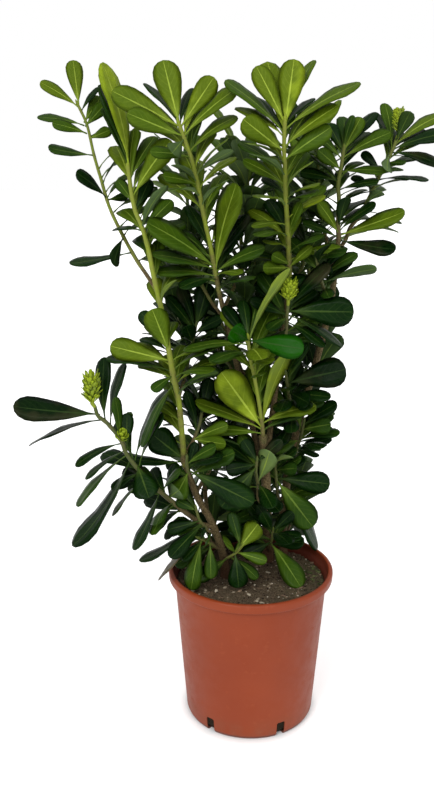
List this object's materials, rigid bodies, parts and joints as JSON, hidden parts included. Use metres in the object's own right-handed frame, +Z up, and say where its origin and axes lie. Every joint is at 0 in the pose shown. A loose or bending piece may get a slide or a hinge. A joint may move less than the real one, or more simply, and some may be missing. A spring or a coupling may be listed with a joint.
{
  "type": "potted shrub",
  "caption": "Bushy evergreen shrub with whorls of glossy spoon-shaped leaves on several upright stems, growing in soil in a round tapered terracotta-coloured pot.",
  "frame": {"origin": "centre of the pot's flat underside, on the ground", "axes": "+Z up along the pot's axis; the side of the plant that the picture shows faces -Y"},
  "size_m": [0.5595, 0.4055, 0.9317],
  "materials": {
    "terracotta_plastic": "matte",
    "potting_soil": "matte",
    "bark": "matte",
    "young_foliage": "satin",
    "green_foliage": "satin",
    "dark_foliage": "satin",
    "bud_scales": "satin"
  },
  "bodies": {
    "root": {"pot": "terracotta_plastic", "soil": "potting_soil", "left_trunk": "bark", "centre_trunk": "bark", "right_trunk": "bark", "heart_branch": "bark", "rear_branch": "bark", "middle_branch": "bark", "left_tall_shoot": "young_foliage", "inner_left_shoot": "young_foliage", "tall_right_shoot": "young_foliage", "young_middle_shoot": "young_foliage", "right_inner_shoot": "young_foliage", "far_left_shoot": "green_foliage", "right_shoot": "green_foliage", "far_right_shoot": "green_foliage", "left_drooping_shoot": "green_foliage", "foot_sprig": "green_foliage", "rear_middle_shoot": "green_foliage", "rear_left_shoot": "green_foliage", "rear_right_shoot": "green_foliage", "inner_top_shoot": "green_foliage", "low_left_shoot": "dark_foliage", "middle_bud_shoot": "dark_foliage", "dark_left_shoot": "dark_foliage", "right_middle_shoot": "dark_foliage", "right_low_shoot": "dark_foliage", "right_hanging_shoot": "dark_foliage", "left_middle_shoot": "dark_foliage", "left_knot_shoot": "dark_foliage", "centre_low_shoot": "dark_foliage", "left_foot_shoot": "dark_foliage", "centre_foot_shoot": "dark_foliage", "deep_left_shoot": "dark_foliage", "deep_middle_shoot": "dark_foliage", "deep_right_shoot": "dark_foliage", "low_rear_shoot": "dark_foliage", "inner_dark_shoot": "dark_foliage", "inner_right_shoot": "dark_foliage", "heart_rear_shoot": "dark_foliage", "heart_left_shoot": "dark_foliage", "middle_dark_shoot": "dark_foliage", "trunk_left_shoot": "dark_foliage", "trunk_right_shoot": "dark_foliage", "right_waist_shoot": "dark_foliage", "rear_foot_shoot": "dark_foliage", "left_rear_shoot": "dark_foliage", "right_rear_shoot": "dark_foliage", "inner_low_shoot": "dark_foliage", "left_bud_head": "bud_scales", "right_bud_head": "bud_scales", "middle_bud_head": "bud_scales"}
  },
  "joints": []
}
